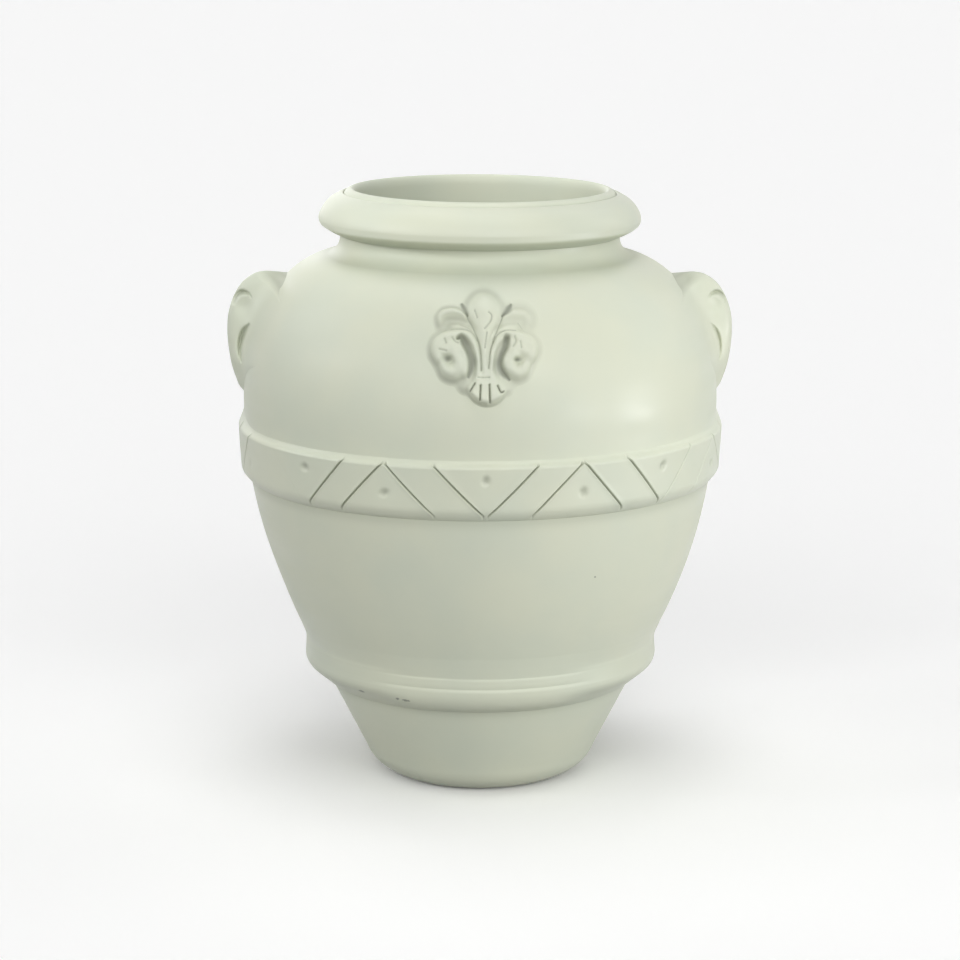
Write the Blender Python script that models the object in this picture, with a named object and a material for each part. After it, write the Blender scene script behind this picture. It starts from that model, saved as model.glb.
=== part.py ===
"""Jar planter: a hand-built clay jar, raised in courses, with applied mouldings, ear handles and a lily.

Metres, +Z up. The jar stands on z = 0 with its axis on Z, the lily faces -Y and the handles lie on X.
Every piece is the piece of clay that a potter forms by itself and lutes to its neighbours.
"""

import math

import bmesh
import bpy
from mathutils import Matrix, Vector

MM = 0.001

# Driving dimensions of the jar's wall, from which the courses are worked out
JAR_HEIGHT = 600 * MM
BELLY_RADIUS = 239 * MM
BELLY_ARC = 525 * MM
GIRTH_Z = 390 * MM
SHOULDER_RISE = 146 * MM
NECK_RADIUS = 139.4 * MM
FOOT_RADIUS = 118.5 * MM
FOOT_Z = 28 * MM
HEEL_Z = 137 * MM
WALL = 16 * MM
FLOOR = 22 * MM
BASE_RADIUS = 86 * MM
DRAIN_RADIUS = 18 * MM

# Joints between the courses: the outside height of each, and how far its bevel rises inwards
FOOT_JOINT_Z = 122 * MM
BELLY_JOINT_Z = 192 * MM
BAND_JOINT_Z = 340 * MM
SCARF = 6 * MM
JOINT_GAP = 0.3 * MM

# Collar, rolled rim and lip
COLLAR_FOOT_RADIUS = 152 * MM
COLLAR_BORE = 124 * MM
COLLAR_RADIUS = 140.2 * MM
COLLAR_FILLET = 11.3 * MM
RIM_RADIUS = 161.8 * MM
RIM_Z = 568.5 * MM
RIM_LOW_Z = 550 * MM
RIM_TOP_Z = 592 * MM
LIP_CREST_RADIUS = 129.5 * MM

# Applied band and base ring
BAND_LOW_Z = 306.5 * MM
BAND_TOP_Z = 376.5 * MM
BAND_FACE_LOW = (242.2 * MM, 318.5 * MM)
BAND_FACE_TOP = (244.4 * MM, 363 * MM)
RING_LOW_Z = 95.5 * MM
RING_TOP_Z = 145 * MM
RING_RADIUS = 179.4 * MM
RING_Z = 121 * MM

# Incised zigzag and pressed dots of the band: angles in degrees, counted from the front
MOTIFS = 16
MOTIF_PITCH = 22.8
LEG_SPREAD = 11.2
LEG_APEX_GAP = 0.5
LEG_MARGIN = 1 * MM
GROOVE_WIDTH = 2.6 * MM
GROOVE_DEPTH = 1.7 * MM
DOT_RADIUS = 5 * MM
DOT_DEPTH = 2 * MM
DOT_SHARE = 0.33

# Ear handles
HANDLE_AZIMUTHS = {"right": 90.0, "left": -90.0}
STRAP_THICKNESS = 12 * MM
STRAP_TOP_WIDTH = 46 * MM
STRAP_LOW_WIDTH = 38 * MM
# Pad under the strap, from below: height, half width and crown
PAD_EDGE = 0.8 * MM
PAD_LINE = [
    (424 * MM, 6 * MM, 1.6 * MM), (433 * MM, 8 * MM, 5 * MM), (444 * MM, 10 * MM, 9 * MM),
    (454 * MM, 14 * MM, 13 * MM), (462 * MM, 18 * MM, 15.2 * MM), (472 * MM, 21 * MM, 16.6 * MM),
    (481 * MM, 20 * MM, 16.4 * MM), (488 * MM, 17 * MM, 13.4 * MM), (494 * MM, 13 * MM, 8.6 * MM),
    (499 * MM, 8 * MM, 3 * MM),
]

# Lily, in front coordinates: x across, height above the tie, lift off the wall
TIE_Z = 447 * MM
SCROLL_EYE = (29.5 * MM, 17 * MM)
SCROLL_START = (150.0, 21 * MM)
SCROLL_END = (-190.0, 9.4 * MM)
STEM_X = 7.3 * MM
# Petal in millimetres: height above the tie and half width; leaf: x, height above the tie and half width
PETAL_HALF_WIDTHS = [
    (1, 3), (20, 4), (33, 6.6), (44, 10.4), (53, 15.4), (60, 18), (67, 16.5), (72, 11), (75, 5),
]
LEAF_LINE = [
    (9.4, 35, 0.7), (13.6, 42.5, 1.6), (20.5, 49.5, 4), (27.5, 53.5, 6.2), (35, 54, 6), (41, 51, 4.6),
    (44, 46.5, 1.8),
]

SEGMENTS = 52
CLAY = (0.67, 0.71, 0.58, 1.0)
SHADED_CLAY = (0.56, 0.59, 0.47, 1.0)


# Profile of the wall

def outer_radius(z):
    """Radius of the wall's outside: a conical foot, an arc up to the girth and an elliptical shoulder."""
    if z >= GIRTH_Z:
        share = min(1.0, (z - GIRTH_Z) / SHOULDER_RISE)
        return NECK_RADIUS + (BELLY_RADIUS - NECK_RADIUS) * math.sqrt(1 - share**2)
    if z >= HEEL_Z:
        return BELLY_RADIUS - BELLY_ARC + math.sqrt(BELLY_ARC**2 - (z - GIRTH_Z) ** 2)
    share = (z - FOOT_Z) / (HEEL_Z - FOOT_Z)
    return FOOT_RADIUS + share * (outer_radius(HEEL_Z) - FOOT_RADIUS)


def inner_radius(z):
    """Radius of the wall's inside, one wall thickness in."""
    if z >= GIRTH_Z:
        share = min(1.0, (z - GIRTH_Z) / (SHOULDER_RISE - WALL))
        return NECK_RADIUS + (BELLY_RADIUS - NECK_RADIUS - WALL) * math.sqrt(1 - share**2)
    return outer_radius(z) - WALL


def shoulder_z(radius):
    """Height at which the shoulder's outside has this radius."""
    share = (radius - NECK_RADIUS) / (BELLY_RADIUS - NECK_RADIUS)
    return GIRTH_Z + SHOULDER_RISE * math.sqrt(1 - share**2)


def shoulder_heights():
    """Heights of the shoulder's facets, from the girth to the foot of the collar."""
    top = math.asin((shoulder_z(COLLAR_FOOT_RADIUS) - GIRTH_Z) / SHOULDER_RISE)
    return [GIRTH_Z + SHOULDER_RISE * math.sin(angle) for angle in spread(0, top, 9)]


def spread(low, high, count):
    """count values evenly from low to high, both included."""
    return [low + (high - low) * i / (count - 1) for i in range(count)]


def bow(start, pull, end, count):
    """Points of a quadratic curve from start to end, drawn towards pull."""
    points = []
    for t in spread(0, 1, count):
        weights = ((1 - t) ** 2, 2 * t * (1 - t), t**2)
        points.append(tuple(sum(w * p[i] for w, p in zip(weights, (start, pull, end))) for i in (0, 1)))
    return points


def smooth_line(points, steps):
    """A smooth curve through the given points, with this many steps between each two."""
    ends = [points[0], *points, points[-1]]
    line = []
    for a, b, c, d in zip(ends, ends[1:], ends[2:], ends[3:]):
        for i in range(steps):
            t = i / steps
            line.append(tuple(
                q + 0.5 * t * (r - p + t * (2 * p - 5 * q + 4 * r - s + t * (3 * q - p - 3 * r + s)))
                for p, q, r, s in zip(a, b, c, d)
            ))
    return [*line, tuple(points[-1])]


# Making objects

def clay(name, colour, roughness=0.5):
    """A painted clay finish."""
    material = bpy.data.materials.new(name)
    material.use_nodes = True
    shader = material.node_tree.nodes["Principled BSDF"]
    shader.inputs["Base Color"].default_value = colour
    shader.inputs["Roughness"].default_value = roughness
    shader.inputs["Metallic"].default_value = 0.0
    material.diffuse_color = colour
    return material


def object_from(name, bm, material, smooth_angle=40.0):
    """Closes a bmesh into a named object with outward faces, shaded smooth up to an angle."""
    bmesh.ops.recalc_face_normals(bm, faces=bm.faces[:])
    mesh = bpy.data.meshes.new(name)
    bm.to_mesh(mesh)
    bm.free()
    mesh.shade_smooth()
    mesh.set_sharp_from_angle(angle=math.radians(smooth_angle))
    mesh.materials.append(material)
    obj = bpy.data.objects.new(name, mesh)
    bpy.context.scene.collection.objects.link(obj)
    return obj


def turned(name, outline, material):
    """A ring turned from a closed outline of (radius, height) points."""
    bm = bmesh.new()
    corners = [bm.verts.new((radius, 0, z)) for radius, z in outline]
    edges = [bm.edges.new((a, b)) for a, b in zip(corners, corners[1:] + corners[:1])]
    bmesh.ops.spin(
        bm, geom=corners + edges, cent=(0, 0, 0), axis=(0, 0, 1),
        angle=2 * math.pi, steps=SEGMENTS, use_merge=True,
    )
    return object_from(name, bm, material)


def loft(name, sections, material):
    """A solid through a row of closed sections with equal numbers of points, capped at both ends."""
    bm = bmesh.new()
    loops = [[bm.verts.new(point) for point in section] for section in sections]
    for near, far in zip(loops, loops[1:]):
        for i in range(len(near)):
            j = (i + 1) % len(near)
            bm.faces.new((near[i], near[j], far[j], far[i]))
    bm.faces.new(loops[0])
    bm.faces.new(loops[-1])
    return object_from(name, bm, material)


def cut(obj, cutter):
    """Cuts one object by another, which stays as a hidden guide."""
    cutter.hide_render = True
    cutter.display_type = "WIRE"
    modifier = obj.modifiers.new("cut", "BOOLEAN")
    modifier.operation = "DIFFERENCE"
    modifier.object = cutter


def turn(azimuth):
    """Rotation from the front of the jar to an azimuth in degrees, seen from above."""
    return Matrix.Rotation(math.radians(azimuth), 4, "Z")


def pressed(x, z, lift, azimuth=0.0):
    """A point lifted off the wall's outside, at x across and height z as seen from that azimuth."""
    step = 0.1 * MM
    radius = outer_radius(z)
    slope = (outer_radius(z + step) - outer_radius(z - step)) / (2 * step)
    base = Vector((x, -math.sqrt(radius**2 - x**2), z))
    normal = Vector((base.x / radius, base.y / radius, -slope)).normalized()
    return turn(azimuth) @ (base + normal * lift)


def relief(name, rows, material, azimuth=0.0):
    """A sprig pressed on the wall: rows of (x, z, lift) points on a back that follows the wall."""
    bm = bmesh.new()
    front = [[bm.verts.new(pressed(x, z, lift, azimuth)) for x, z, lift in row] for row in rows]
    back = [[bm.verts.new(pressed(x, z, JOINT_GAP, azimuth)) for x, z, lift in row] for row in rows]
    for grid in (front, back):
        for low, high in zip(grid, grid[1:]):
            for i in range(len(low) - 1):
                bm.faces.new((low[i], low[i + 1], high[i + 1], high[i]))
    border = [(0, i) for i in range(len(rows[0]))]
    border += [(j, len(rows[0]) - 1) for j in range(1, len(rows))]
    border += [(len(rows) - 1, i) for i in reversed(range(len(rows[0]) - 1))]
    border += [(j, 0) for j in reversed(range(1, len(rows) - 1))]
    for (j, i), (k, m) in zip(border, border[1:] + border[:1]):
        bm.faces.new((front[j][i], front[k][m], back[k][m], back[j][i]))
    return object_from(name, bm, material)


# Courses of the wall

def course(low_z, high_z, outside_steps, inside_steps):
    """Outline of a wall course between two bevelled joints."""
    low_z = low_z + JOINT_GAP
    outside = [(outer_radius(z), z) for z in spread(low_z, high_z, outside_steps)]
    inside = [(inner_radius(z), z) for z in spread(high_z + SCARF, low_z + SCARF, inside_steps)]
    return outside + inside


def make_walls(finish, inside_finish):
    """Floor slab, the four wall courses and the collar with its lip."""
    edge = bow((BASE_RADIUS, 0), (111 * MM, 6.5 * MM), (FOOT_RADIUS, FOOT_Z), 6)
    bed = [(FOOT_RADIUS - WALL, FOOT_Z + SCARF), (92 * MM, FLOOR)]
    turned("floor_slab", [(DRAIN_RADIUS, 0), *edge, *bed, (DRAIN_RADIUS, FLOOR)], inside_finish)
    turned("foot_course", course(FOOT_Z, FOOT_JOINT_Z, 2, 2), finish)
    turned("lower_belly_course", course(FOOT_JOINT_Z, BELLY_JOINT_Z, 4, 3), finish)
    turned("upper_belly_course", course(BELLY_JOINT_Z, BAND_JOINT_Z, 5, 3), finish)

    top_z = shoulder_z(COLLAR_FOOT_RADIUS)
    bed_z = top_z - 1.8 * MM
    low_z = BAND_JOINT_Z + JOINT_GAP
    outside = [(outer_radius(z), z) for z in (low_z, *shoulder_heights())]
    inside = [(COLLAR_BORE, bed_z), (COLLAR_BORE, GIRTH_Z + SHOULDER_RISE - WALL)]
    for angle in spread(math.pi / 2, 0, 6):
        z = GIRTH_Z + (SHOULDER_RISE - WALL) * math.sin(angle)
        inside.append((inner_radius(z), z))
    inside.append((inner_radius(low_z + SCARF), low_z + SCARF))
    turned("shoulder_course", outside + inside, finish)

    fillet_centre = (COLLAR_RADIUS + COLLAR_FILLET, top_z + 1.3 * MM + COLLAR_FILLET)
    fillet = [
        (fillet_centre[0] - COLLAR_FILLET * math.sin(a), fillet_centre[1] - COLLAR_FILLET * math.cos(a))
        for a in spread(0, math.pi / 2, 4)
    ]
    lip = bow((138.6 * MM, RIM_TOP_Z + 0.8 * MM), (137.4 * MM, JAR_HEIGHT), (LIP_CREST_RADIUS, JAR_HEIGHT), 4)
    throat = bow((LIP_CREST_RADIUS, JAR_HEIGHT), (125 * MM, JAR_HEIGHT - MM), (COLLAR_BORE, 582 * MM), 4)
    toe = [(COLLAR_BORE, bed_z + JOINT_GAP), (fillet[0][0], top_z + JOINT_GAP)]
    turned("neck_collar", [*fillet, (139.9 * MM, RIM_TOP_Z), *lip, *throat[1:], *toe], finish)


# Applied mouldings

def make_mouldings(finish):
    """Rolled rim, base ring and the plain band, each following the wall that it is luted to."""
    seat = COLLAR_RADIUS + JOINT_GAP
    under = bow((seat, RIM_LOW_Z), (160.5 * MM, 551 * MM), (RIM_RADIUS, RIM_Z), 6)
    over = bow((RIM_RADIUS, RIM_Z), (157 * MM, 584 * MM), (seat, RIM_TOP_Z), 5)
    turned("rolled_rim", under + over[1:], finish)

    toe = (outer_radius(RING_LOW_Z) + 2 * MM, RING_LOW_Z)
    swell = bow(toe, (179 * MM, 104 * MM), (RING_RADIUS, RING_Z), 5)
    beads = [(RING_RADIUS - d * MM, z * MM) for d, z in ((0.9, 125.7), (0, 130.4), (1, 135), (0.2, 139))]
    back = [(outer_radius(z) + JOINT_GAP, z) for z in (RING_TOP_Z, HEEL_Z, RING_LOW_Z)]
    turned("base_ring", [*swell, *beads, (RING_RADIUS + 0.3 * MM, RING_TOP_Z), *back], finish)

    front = [
        (outer_radius(BAND_LOW_Z) + 1.5 * MM, BAND_LOW_Z), (239.2 * MM, 313 * MM), BAND_FACE_LOW,
        BAND_FACE_TOP, (243.6 * MM, 367 * MM), (outer_radius(BAND_TOP_Z) + 1.2 * MM, BAND_TOP_Z),
    ]
    heights = (BAND_TOP_Z, BAND_JOINT_Z, BAND_LOW_Z)
    back = [(outer_radius(z) + JOINT_GAP, z) for z in heights]
    return turned("zigzag_band", front + back, finish)


def band_point(angle, share, lift):
    """A point on the band's face: angle from the front, share of its height from the bottom, lift off it."""
    low, top = BAND_FACE_LOW, BAND_FACE_TOP
    radius = low[0] + share * (top[0] - low[0]) + lift
    around = math.radians(angle)
    return Vector((radius * math.sin(around), -radius * math.cos(around), low[1] + share * (top[1] - low[1])))


def motif_angles():
    """Angle of each motif and whether it points down, from the front, with a longer last step at the back."""
    half = MOTIFS // 2
    angles = [(k * MOTIF_PITCH, k % 2 == 0) for k in range(1 - half, half)]
    return [*angles, (180.0, half % 2 == 0)]


def groove(bm, start, end):
    """One leg of the zigzag: a V-shaped bar, sunk in the band's face from start to end."""
    up = GROOVE_WIDTH / 2 / (BAND_FACE_TOP[1] - BAND_FACE_LOW[1])
    loops = []
    for t in spread(0, 1, 4):
        angle = start[0] + t * (end[0] - start[0])
        share = start[1] + t * (end[1] - start[1])
        corners = ((share - 2 * up, GROOVE_DEPTH), (share + 2 * up, GROOVE_DEPTH), (share, -GROOVE_DEPTH))
        loops.append([bm.verts.new(band_point(angle, s, lift)) for s, lift in corners])
    for near, far in zip(loops, loops[1:]):
        for i in range(3):
            j = (i + 1) % 3
            bm.faces.new((near[i], near[j], far[j], far[i]))
    bm.faces.new(loops[0])
    bm.faces.new(loops[-1])


def incise(band, finish):
    """Cuts the zigzag's legs and presses a dot into each of its triangles."""
    margin = LEG_MARGIN / (BAND_FACE_TOP[1] - BAND_FACE_LOW[1])
    bm = bmesh.new()
    for angle, points_down in motif_angles():
        apex, foot = (margin, 1 - margin) if points_down else (1 - margin, margin)
        for side in (-1, 1):
            groove(bm, (angle + side * LEG_APEX_GAP, apex), (angle + side * LEG_SPREAD, foot))
        dot = band_point(angle, 1 - DOT_SHARE if points_down else DOT_SHARE, DOT_RADIUS - DOT_DEPTH)
        bmesh.ops.create_icosphere(bm, subdivisions=1, radius=DOT_RADIUS, matrix=Matrix.Translation(dot))
    cut(band, object_from("zigzag_cutter", bm, finish))


# Ear handles

def strap_line():
    """Middle line of a handle's strap as (distance from the axis, height), from the shoulder to the belly."""
    return smooth_line([
        (192 * MM, 506.5 * MM), (207 * MM, 508.8 * MM), (222.5 * MM, 507.4 * MM), (234 * MM, 499.5 * MM),
        (242.2 * MM, 487 * MM), (247.4 * MM, 472 * MM), (248.7 * MM, 456 * MM), (247.2 * MM, 438 * MM),
        (243.6 * MM, 420 * MM), (238 * MM, 403.5 * MM), (230 * MM, 391 * MM),
    ], 2)


def strap_sections(azimuth):
    """Rounded sections across the strap, narrowing downwards."""
    line = strap_line()
    sections = []
    for i, (distance, z) in enumerate(line):
        share = i / (len(line) - 1)
        before, after = line[max(i - 1, 0)], line[min(i + 1, len(line) - 1)]
        along = Vector((after[0] - before[0], after[1] - before[1])).normalized()
        half_width = (STRAP_TOP_WIDTH + share * (STRAP_LOW_WIDTH - STRAP_TOP_WIDTH)) / 2
        section = []
        for angle in spread(0, 2 * math.pi, 11)[:-1]:
            across = half_width * math.copysign(abs(math.cos(angle)) ** 0.6, math.cos(angle))
            out = STRAP_THICKNESS / 2 * math.copysign(abs(math.sin(angle)) ** 0.8, math.sin(angle))
            point = Vector((across, -(distance - along.y * out), z + along.x * out))
            section.append(turn(azimuth) @ point)
        sections.append(section)
    return sections


def make_handles(finish):
    """On each side a strap, bent from the shoulder to the belly over a crowned pad of clay."""
    heights = [GIRTH_Z - 30 * MM, *shoulder_heights()]
    seat = [(outer_radius(z) + JOINT_GAP, z) for z in heights]
    core = [(NECK_RADIUS / 2, heights[-1]), (NECK_RADIUS / 2, heights[0])]
    wall_cutter = turned("handle_seat_cutter", seat + core, finish)
    for side, azimuth in HANDLE_AZIMUTHS.items():
        strap = loft(f"{side}_handle_strap", strap_sections(azimuth), finish)
        cut(strap, wall_cutter)
        rows = []
        for z, half, crown in PAD_LINE:
            steps = (-1, -0.85, -0.45, 0, 0.45, 0.85, 1)
            rows.append([(t * half, z, crown - (crown - PAD_EDGE) * abs(t) ** 3) for t in steps])
        relief(f"{side}_handle_pad", rows, finish, azimuth)


# Lily

def ribbon(line, crown, rim=1.2 * MM, across=(-1, -0.6, 0, 0.6, 1)):
    """Rows of a crowned ribbon along (x, height above the tie, half width) points."""
    rows = []
    for i, (x, w, half) in enumerate(line):
        before, after = line[max(i - 1, 0)], line[min(i + 1, len(line) - 1)]
        along = Vector((after[0] - before[0], after[1] - before[1])).normalized()
        top = rim + (crown - rim) * min(1.0, half / (3 * MM))
        rows.append([
            (x + along.y * half * t, TIE_Z + w - along.x * half * t, rim + (top - rim) * math.sqrt(1 - t * t))
            for t in across
        ])
    return rows


def scroll_line(side):
    """Middle line of a scroll: a stem from the tie that winds round its eye and ends in a round knob."""
    line = [(side * STEM_X, w * MM, h * MM) for w, h in ((1, 3), (10, 3.1), (19, 3.4))]
    half_widths = smooth_line([(4.2,), (6.2,), (6.6,), (6.4,), (6.4,), (7.2,), (10.2,), (7.4,), (2.6,)], 2)
    (start, start_radius), (end, end_radius) = SCROLL_START, SCROLL_END
    for i, (half,) in enumerate(half_widths):
        share = i / (len(half_widths) - 1)
        angle = math.radians(start + share * (end - start))
        radius = start_radius + share * (end_radius - start_radius)
        x = side * (SCROLL_EYE[0] + radius * math.cos(angle))
        line.append((x, SCROLL_EYE[1] + radius * math.sin(angle), half * MM))
    return line


def make_lily(finish):
    """The lily on the front: petal, leaves, scrolls, tie and tassel, luted on side by side."""
    petal = [(0, w * MM, half * MM) for w, half in smooth_line(PETAL_HALF_WIDTHS, 2)]
    relief("lily_petal", ribbon(petal, 9 * MM), finish)
    leaf = smooth_line(LEAF_LINE, 2)
    for side, word in ((-1, "left"), (1, "right")):
        line = [(side * x * MM, w * MM, h * MM) for x, w, h in leaf]
        relief(f"lily_{word}_leaf", ribbon(line, 7 * MM), finish)
        relief(f"lily_{word}_scroll", ribbon(scroll_line(side), 10 * MM), finish)
    tie_line = [(x, 0.3 + 2.5 * math.sqrt(1 - (x / 15) ** 2)) for x in spread(-14.5, 14.5, 9)]
    relief("lily_tie", ribbon([(x * MM, -2.2 * MM, half * MM) for x, half in tie_line], 7.5 * MM), finish)

    rows = []
    strands, slots_per_strand = 5, 4
    for i in range(strands * slots_per_strand + 1):
        lean = spread(-1, 1, strands * slots_per_strand + 1)[i]
        angle = math.radians(27 * lean)
        ridge = 0.45 + 0.55 * abs(math.sin(math.pi * i / slots_per_strand))
        row = []
        for t in spread(0, 1, 5):
            top = 25.8 / math.cos(angle)
            distance = (top + t * (45 - 8 * lean**2 - top)) * MM
            lift = (1.2 + 8 * ridge * math.sqrt(1 - (1.7 * t - 0.8) ** 2 / 1.2)) * MM
            row.append((distance * math.sin(angle), TIE_Z + 20 * MM - distance * math.cos(angle), lift))
        rows.append(row)
    relief("lily_tassel", rows, finish)


def main():
    for obj in list(bpy.data.objects):
        bpy.data.objects.remove(obj)
    wall = clay("painted_wall", CLAY)
    floor = clay("painted_floor", SHADED_CLAY, 0.65)
    moulding = clay("painted_moulding", CLAY, 0.45)
    handle = clay("painted_handle", CLAY, 0.5)
    sprig = clay("painted_lily", CLAY, 0.5)
    make_walls(wall, floor)
    incise(make_mouldings(moulding), moulding)
    make_handles(handle)
    make_lily(sprig)


main()
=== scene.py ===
import math

import bmesh
import bpy
import numpy as np
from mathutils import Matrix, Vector


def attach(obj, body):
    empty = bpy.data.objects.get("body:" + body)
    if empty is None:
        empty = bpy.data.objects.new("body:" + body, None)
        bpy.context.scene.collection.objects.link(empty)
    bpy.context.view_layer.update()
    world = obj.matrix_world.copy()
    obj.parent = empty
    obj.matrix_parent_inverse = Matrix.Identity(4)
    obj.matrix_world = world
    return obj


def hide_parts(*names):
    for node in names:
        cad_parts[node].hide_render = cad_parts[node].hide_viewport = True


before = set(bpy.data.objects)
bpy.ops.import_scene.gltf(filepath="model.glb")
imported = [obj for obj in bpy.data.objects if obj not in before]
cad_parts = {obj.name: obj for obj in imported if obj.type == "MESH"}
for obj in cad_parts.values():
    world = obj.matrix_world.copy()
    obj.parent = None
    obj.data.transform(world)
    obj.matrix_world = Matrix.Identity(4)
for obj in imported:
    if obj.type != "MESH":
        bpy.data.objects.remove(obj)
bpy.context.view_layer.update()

MM = 0.001

# Wall of the jar, the same driving sizes as its solids
BELLY_RADIUS = 239 * MM
BELLY_ARC = 525 * MM
GIRTH_Z = 390 * MM
SHOULDER_RISE = 146 * MM
NECK_RADIUS = 139.4 * MM
FOOT_RADIUS = 118.5 * MM
FOOT_Z = 28 * MM
HEEL_Z = 137 * MM
WALL = 16 * MM
FLOOR = 22 * MM
DRAIN_RADIUS = 18 * MM
COLLAR_BORE = 124 * MM
COLLAR_RADIUS = 140.2 * MM
COLLAR_FILLET = 18 * MM
FILLET_START = 157 * MM
SETTLE = 1.5 * MM
SEGMENTS = 192
WHEEL_RADIUS = 0.1
# How squarely a place faces front or back where a moulding starts to be fuller, and where it is full
FRONT = (0.78, 0.93)
ROLL_FRONT = (0.2, 0.6)

# Rounded edges of the wall in section: start, pull and end of each curve, as (radius, height)
BASE_EDGE = [(86 * MM, 0), (111 * MM, 6.5 * MM), (FOOT_RADIUS, FOOT_Z)]
LIP = [(136 * MM, 593.2 * MM), (133.8 * MM, 597.8 * MM), (129.3 * MM, 598.6 * MM)]
THROAT = [LIP[-1], (125 * MM, 598.6 * MM), (124.2 * MM, 589 * MM)]
NECK_INSIDE = [(COLLAR_BORE, 526 * MM), (COLLAR_BORE, 520 * MM), (NECK_RADIUS, 520 * MM)]
FLOOR_CORNER = [(104 * MM, 36 * MM), (98 * MM, FLOOR), (88 * MM, FLOOR)]
# Top and bottom of the collar's straight inside, and how far down the wall is equally thick
BORE_HEIGHTS = (582 * MM, 528 * MM)
INSIDE_FOOT = 40 * MM
# Painted shadow on the wall below the ring and the band: height of their lower edge and depth of the shadow
UNDER_SHADE = [(101 * MM, 0.2), (309 * MM, 0.3)]
UNDER_REACH = 7 * MM

# Mouldings in section, in millimetres: radius at the sides, height, how much painted shade lies there, and
# how much fuller they are at the front
# The roll's painted shade lies on its underside and in the groove by the lip
ROLL_UNDER = [
    (139.4, 552.6, 0.6, 0), (145, 555.2, 0.55, 1), (150, 557.6, 0.45, 2.4), (154.5, 560.2, 0.3, 3.2),
    (157.6, 562, 0.1, 2.8), (159.4, 563.4, 0, 2.1), (160.6, 565.2, 0, 1.2), (161.3, 567, 0, 0.6),
    (161.6, 569.6, 0, 0.3),
]
ROLL_OVER = [
    (160.7, 574, 0, 0), (158.2, 579, 0, 0), (154.4, 584, 0, 0), (149.6, 588.4, 0, 0), (145, 591.2, 0, 0),
    (141, 593.3, 0, 0), (138.6, 594.2, 0, 0), (137.2, 594.1, 0.2, 0), (136.5, 593.4, 0.5, 0),
    (136.1, 592.2, 0.8, 0),
]
ROLL_BACK = [(133, 589, 0), (133, 553, 0)]
# Painted shade on the collar behind the roll
BEHIND_ROLL = [(140.2, 562, 0.6), (139, 580, 0.8), (136.2, 590, 0.8), (136.1, 592.6, 0.6)]
# The ring at the front has a ridge and a groove; painted shade darkens its face and its lower edge
RING = [
    (154, 98.6, 0.15, 0), (157.6, 100.3, 0.1, 0.4), (160.8, 102.5, 0.05, 2.2), (164.8, 106, 0.05, 4.6),
    (169.6, 109.8, 0.08, 4.6), (174.1, 113.5, 0.1, 2.9), (177.8, 117.2, 0.12, 0.9), (179.6, 120.9, 0.12, 0),
    (180, 124.8, 0.12, -0.1), (179.9, 126.8, 0.12, -0.3), (179.8, 128.6, 0.12, -0.9),
    (179.7, 130.3, 0.12, -0.5), (179.6, 133, 0.12, -0.2), (179.5, 137.4, 0.12, -0.2),
    (179.5, 139.2, 0.1, -0.6), (179.6, 141, 0.08, -0.4), (179.9, 144.6, 0.04, 0.4),
    (181.7, 150, 0, 0.5), (184.3, 156, 0, 0.2), (186.4, 161, 0, 0),
]
# Heights of the ring's back, and how far it lies inside the wall
RING_BACK = (156, 137, 98)
RING_BEDDING = 2.5

# Zigzag band in millimetres: its section, and the height of its drawn lines and pressed dots
BAND_RADIUS = 243.5
BAND_UNDER = [
    (231.8, 308.8), (233.6, 309.6), (236.2, 311.8), (239, 314.8), (241, 317.6), (242.1, 320.4),
    (242.4, 323.2),
]
# Radius and height of its top edge at the front, then at the sides, where it is smoothed up the wall
BAND_OVER = [
    (244.4, 360.8, 244.4, 361.8), (244, 362.2, 243.9, 364), (243, 363.3, 242.8, 367),
    (241.6, 364.2, 241.4, 370.6), (240.2, 365.2, 240.2, 374), (239.1, 366.6, 239.2, 377),
    (238.3, 368.6, 238.4, 380.4),
]
# Heights of its back, and how far it lies inside the wall
BAND_BACK = (374, 342, 312)
BAND_BEDDING = 3
FACE_ROWS = 54
SIDE_SHARPNESS = 60
LINE_ENDS = (315.4, 363.4)
DOT_HEIGHTS = {"down": 350.0, "up": 335.0}
# Distance where no line or dot is near
UNMARKED = 1000.0
# Drawn legs, as degrees from the front at the bottom and at the top, and their depth; then their motifs
FRONT_LEGS = [
    (-80.5, -70.6, 0.6), (-58.6, -69.8, 0.03), (-45.6, -57, 0.03), (-44.26, -33.61, 1), (-34.76, -23.7, 1),
    (-11.81, -22.93, 1), (-0.56, -11.58, 1), (0.56, 11.77, 1), (10.73, 22.18, 1), (33.01, 22.81, 1),
    (44.49, 34.08, 1), (45.5, 56, 0.4), (57.6, 68.6, 0.2), (81, 69.4, 0.6),
]
FRONT_MOTIFS = [
    (-70.3, "up", 0.2), (-44.9, "down", 1), (-23.3, "up", 1), (0, "down", 1), (22.5, "up", 1),
    (45, "down", 1), (69.2, "up", 0.8),
]
# Motifs round the back: degrees from their middle to their point and open end, and the legs' depth
BACK_MOTIFS = 9
BACK_POINT, BACK_OPEN, BACK_DEPTH = 0.5, 11, 0.8

# The hand leaves a flatter place on the left of the belly, and the top leans between these heights
FLAT_PLACE = (-0.2, 0, 0.212)
FLAT_REACH = 0.07
LEAN_HEIGHTS = (0.44, 0.54)

# Floor: what it throws back at the jar, and how pale it looks
FLOOR_BOUNCE = 0.4
FLOOR_TONE = 1.13


# Profile of the wall

def outer_radius(z):
    if z >= GIRTH_Z:
        share = min(1.0, (z - GIRTH_Z) / SHOULDER_RISE)
        return NECK_RADIUS + (BELLY_RADIUS - NECK_RADIUS) * math.sqrt(1 - share**2)
    if z >= HEEL_Z:
        return BELLY_RADIUS - BELLY_ARC + math.sqrt(BELLY_ARC**2 - (z - GIRTH_Z) ** 2)
    share = (z - FOOT_Z) / (HEEL_Z - FOOT_Z)
    return FOOT_RADIUS + share * (outer_radius(HEEL_Z) - FOOT_RADIUS)


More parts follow.
